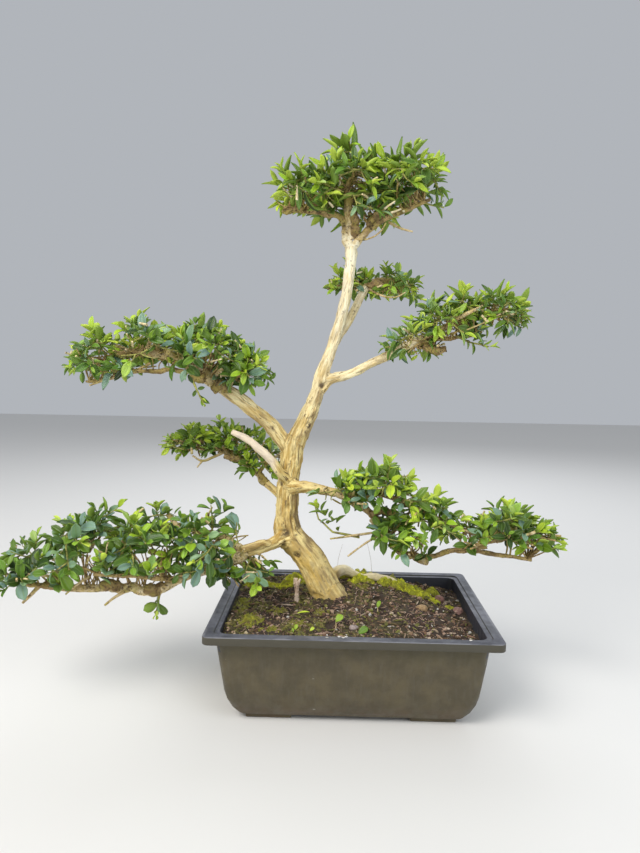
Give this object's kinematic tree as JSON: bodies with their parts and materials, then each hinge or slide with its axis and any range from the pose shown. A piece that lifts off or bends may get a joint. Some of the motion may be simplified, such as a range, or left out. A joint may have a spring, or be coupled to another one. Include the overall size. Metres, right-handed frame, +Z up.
{
  "type": "potted bonsai tree",
  "caption": "Bonsai tree with a leaning pale trunk and clipped leafy pads on side branches, in soil in a rectangular flat-rimmed training pot with feet.",
  "frame": {"origin": "on the surface it stands on, under the middle of the whole plant's bounding box; the pot's middle is 72 mm to the right of it", "axes": "+X to the right along the pot's long side, +Y away from the front, +Z up"},
  "size_m": [0.6444, 0.2532, 0.629],
  "materials": {
    "pot_plastic": "satin",
    "soil_crumb": "matte",
    "bark": "matte",
    "dead_wood": "matte",
    "pebble": "matte",
    "seedling_leaf": "satin",
    "leaf": "gloss"
  },
  "bodies": {
    "root": {"pot": "pot_plastic", "soil": "soil_crumb", "trunk": "bark", "dead_shoot": "dead_wood", "pebble_tan": "pebble", "pebble_pink": "pebble", "pebble_rose": "pebble", "pebble_grey": "pebble", "pebble_brown": "pebble", "seedling_front": "seedling_leaf", "seedling_right": "seedling_leaf", "spray_apex": "leaf", "spray_small_back": "leaf", "spray_right_middle": "leaf", "spray_upper_left": "leaf", "spray_back_left": "leaf", "spray_right_lower": "leaf", "spray_lower_left": "leaf"}
  },
  "joints": []
}
